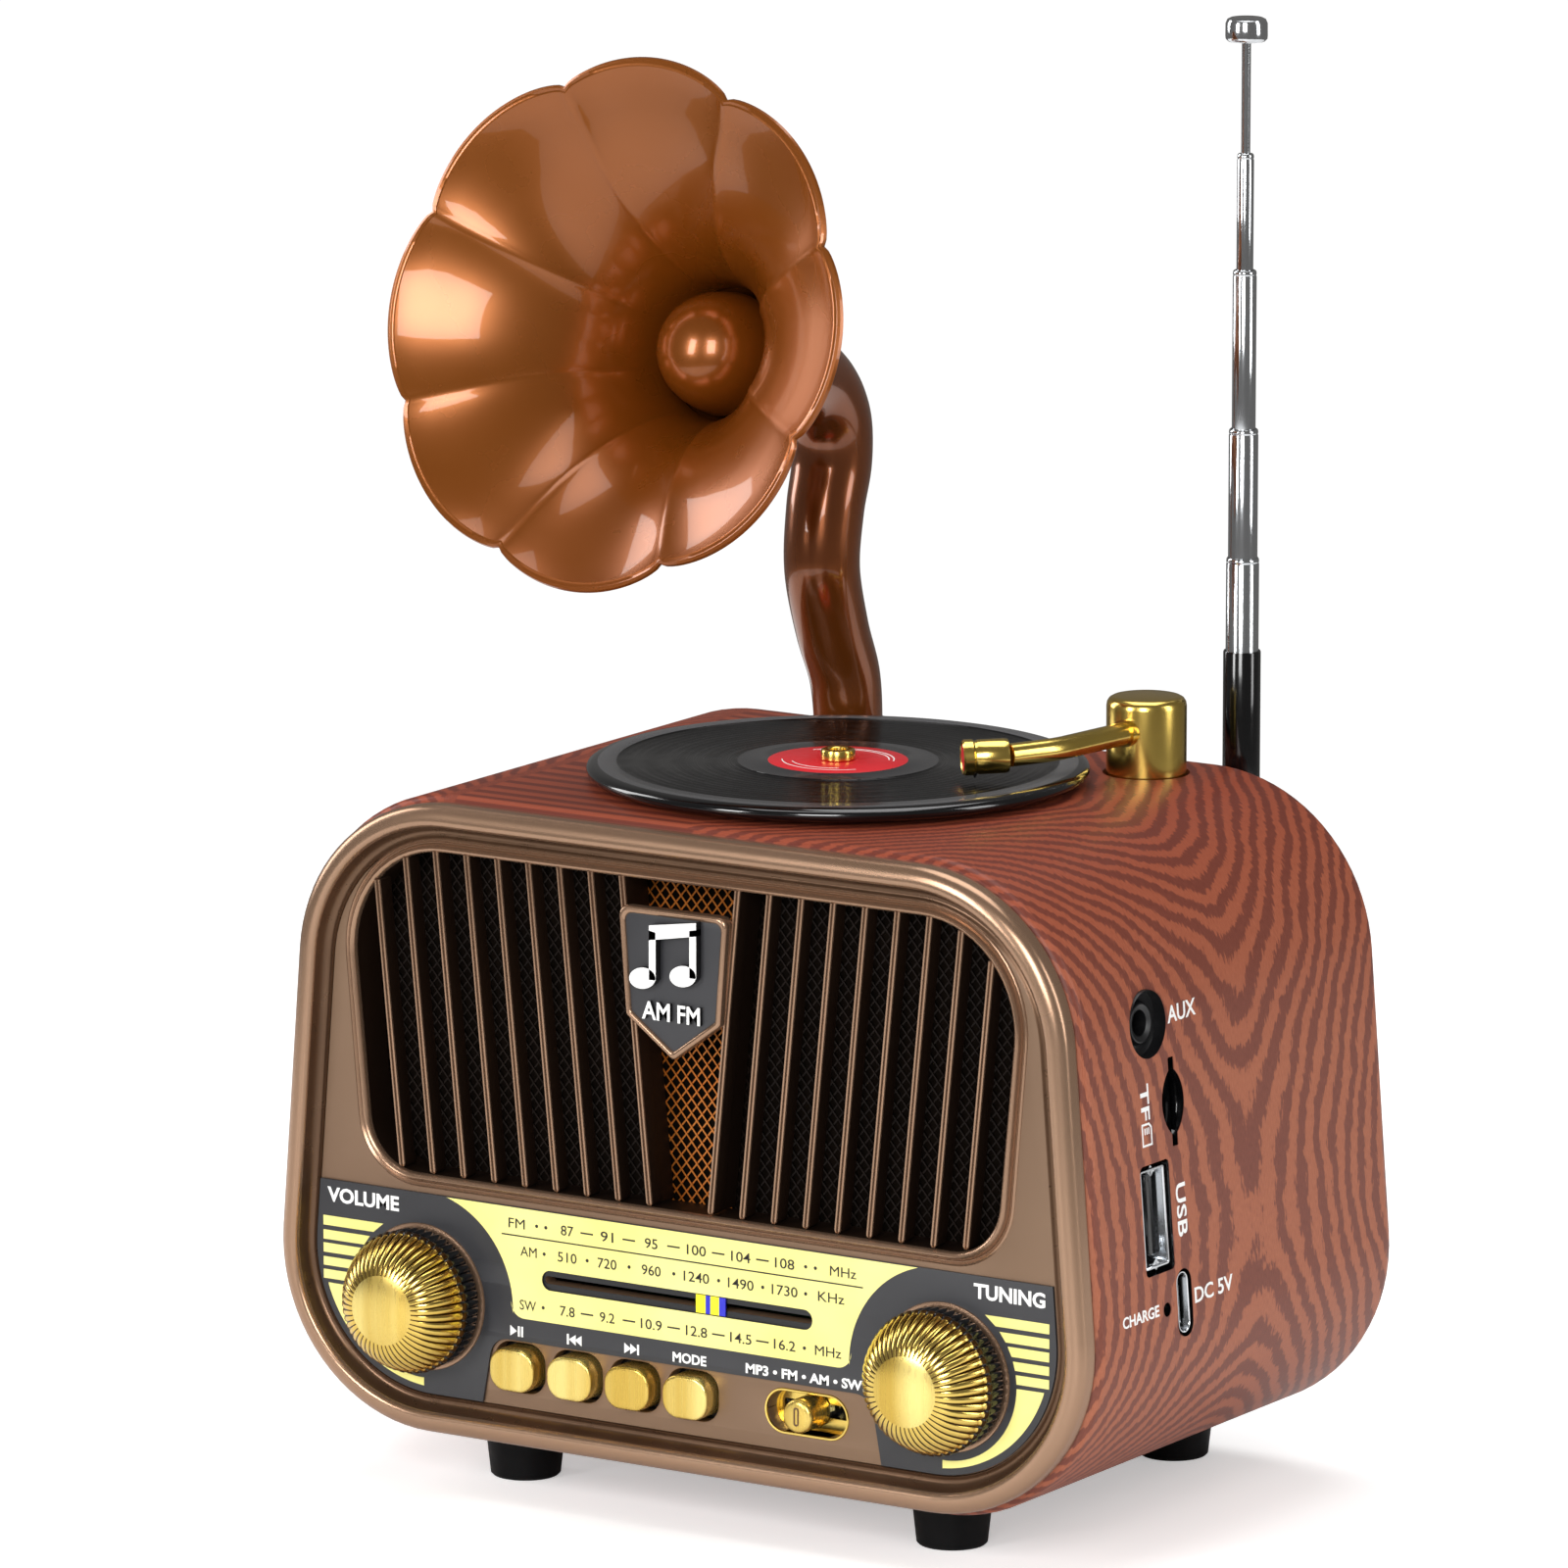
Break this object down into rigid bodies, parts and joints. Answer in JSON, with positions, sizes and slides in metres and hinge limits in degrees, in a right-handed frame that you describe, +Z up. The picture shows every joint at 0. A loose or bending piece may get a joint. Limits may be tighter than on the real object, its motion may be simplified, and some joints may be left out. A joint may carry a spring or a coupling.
{
  "type": "retro tabletop radio speaker",
  "caption": "Small wooden-shelled tabletop radio speaker with a slatted bronze front, two knobs, dial, turning record, tonearm, petalled horn and telescopic antenna.",
  "frame": {"origin": "centre of the overall size in X and Y, on the surface that the feet stand on", "axes": "+X to the right seen from the front, +Y from the front to the back, +Z up"},
  "size_m": [0.1356, 0.101, 0.2059],
  "materials": {
    "wood": "red-brown printed wood grain, satin",
    "bronze": "satin bronze paint on moulded plastic",
    "copper": "glossy copper-bronze plating",
    "gold": "polished gold plating",
    "chrome": "polished",
    "black_plastic": "moulded, satin",
    "label": "dark grey printed plate",
    "grille": "dark woven mesh",
    "record": "grooved, glossy",
    "rubber": "moulded",
    "steel": "nickel plated",
    "board": "green circuit board",
    "paper_cone": "pressed pulp",
    "ferrite": "ferrite",
    "battery": "shrink sleeve",
    "pale_plastic": "moulded"
  },
  "bodies": {
    "root": {"cabinet_shell": "wood", "back_cover": "black_plastic", "back_screw_1": "steel", "back_screw_2": "steel", "back_screw_3": "steel", "back_screw_4": "steel", "foot_1": "rubber", "foot_2": "rubber", "foot_3": "rubber", "foot_4": "rubber", "front_bezel": "bronze", "front_panel": "bronze", "speaker_mesh": "grille", "badge_plate": "label", "dial_plate": "label", "volume_control": "steel", "tuning_capacitor": "pale_plastic", "pointer_rail": "black_plastic", "dial_cord": "black_plastic", "key_board": "board", "mode_switch": "steel", "record_motor": "steel", "horn_bell": "copper", "horn_neck": "copper", "horn_dome": "copper", "aux_jack": "steel", "tf_socket": "steel", "usb_a_socket": "steel", "usb_c_socket": "steel", "charge_led": "pale_plastic", "speaker_frame": "steel", "speaker_cone": "paper_cone", "speaker_magnet": "ferrite", "main_board": "board", "battery_cell": "battery", "ferrite_rod": "ferrite", "battery_lead": "rubber", "speaker_lead": "rubber"},
    "volume": {"volume_knob": "gold", "volume_shaft": "steel"},
    "tuning": {"tuning_knob": "gold", "tuning_drum": "black_plastic"},
    "pointer": {"dial_pointer": "pale_plastic"},
    "key_play": {"button_play": "gold"},
    "key_previous": {"button_previous": "gold"},
    "key_next": {"button_next": "gold"},
    "key_mode": {"button_mode": "gold"},
    "selector": {"mode_slider": "gold"},
    "record": {"record_disc": "record", "record_spindle": "gold"},
    "tonearm": {"tonearm_post": "gold", "tonearm_tube": "gold", "tonearm_head": "gold"},
    "antenna_swivel": {"antenna_fork": "steel"},
    "antenna_mast": {"antenna_sleeve": "black_plastic", "antenna_tube_1": "chrome"},
    "mast_section_2": {"antenna_tube_2": "chrome"},
    "mast_section_3": {"antenna_tube_3": "chrome"},
    "mast_section_4": {"antenna_tube_4": "chrome"},
    "mast_tip": {"antenna_rod": "chrome"}
  },
  "joints": [
    {"name": "volume_turn", "type": "hinge", "parent": "root", "child": "volume", "pos_m": [-0.0435, -0.0445, 0.0277], "axis": [0, 1, 0], "range_deg": [-150, 150]},
    {"name": "tuning_turn", "type": "hinge", "parent": "root", "child": "tuning", "pos_m": [0.0435, -0.0445, 0.0277], "axis": [0, 1, 0], "range_deg": [-262, 145]},
    {"name": "pointer_slide", "type": "slide", "parent": "root", "child": "pointer", "axis": [1, 0, 0], "range_m": [-0.0245, 0.0135]},
    {"name": "press_play", "type": "slide", "parent": "root", "child": "key_play", "axis": [0, 1, 0], "range_m": [0, 0.0008], "stiffness_N_per_m": 400},
    {"name": "press_previous", "type": "slide", "parent": "root", "child": "key_previous", "axis": [0, 1, 0], "range_m": [0, 0.0008], "stiffness_N_per_m": 400},
    {"name": "press_next", "type": "slide", "parent": "root", "child": "key_next", "axis": [0, 1, 0], "range_m": [0, 0.0008], "stiffness_N_per_m": 400},
    {"name": "press_mode", "type": "slide", "parent": "root", "child": "key_mode", "axis": [0, 1, 0], "range_m": [0, 0.0008], "stiffness_N_per_m": 400},
    {"name": "mode_select", "type": "slide", "parent": "root", "child": "selector", "axis": [1, 0, 0], "range_m": [-0.0034, 0.0042]},
    {"name": "record_spin", "type": "hinge", "parent": "root", "child": "record", "pos_m": [0, 0.001, 0.102], "axis": [0, 0, 1], "continuous": true},
    {"name": "tonearm_swing", "type": "hinge", "parent": "root", "child": "tonearm", "pos_m": [0.0335, 0.0295, 0.1], "axis": [0, 0, 1], "range_deg": [-22, 32]},
    {"name": "antenna_swivel_turn", "type": "hinge", "parent": "root", "child": "antenna_swivel", "pos_m": [0.039, 0.0465, 0.08], "axis": [0, 0, 1], "range_deg": [-90, 0]},
    {"name": "antenna_tilt", "type": "hinge", "parent": "antenna_swivel", "child": "antenna_mast", "pos_m": [0.039, 0.0465, 0.085], "axis": [0, 1, 0], "range_deg": [-90, 0]},
    {"name": "section_2_slide", "type": "slide", "parent": "antenna_mast", "child": "mast_section_2", "axis": [0, 0, 1], "range_m": [-0.0182, 0]},
    {"name": "section_3_slide", "type": "slide", "parent": "mast_section_2", "child": "mast_section_3", "axis": [0, 0, 1], "range_m": [-0.0224, 0]},
    {"name": "section_4_slide", "type": "slide", "parent": "mast_section_3", "child": "mast_section_4", "axis": [0, 0, 1], "range_m": [-0.0163, 0]},
    {"name": "tip_slide", "type": "slide", "parent": "mast_section_4", "child": "mast_tip", "axis": [0, 0, 1], "range_m": [-0.0155, 0]}
  ],
  "couplings": [
    {"joint": "pointer_slide", "follows": "tuning_turn", "m_per_rad": 0.0051}
  ]
}
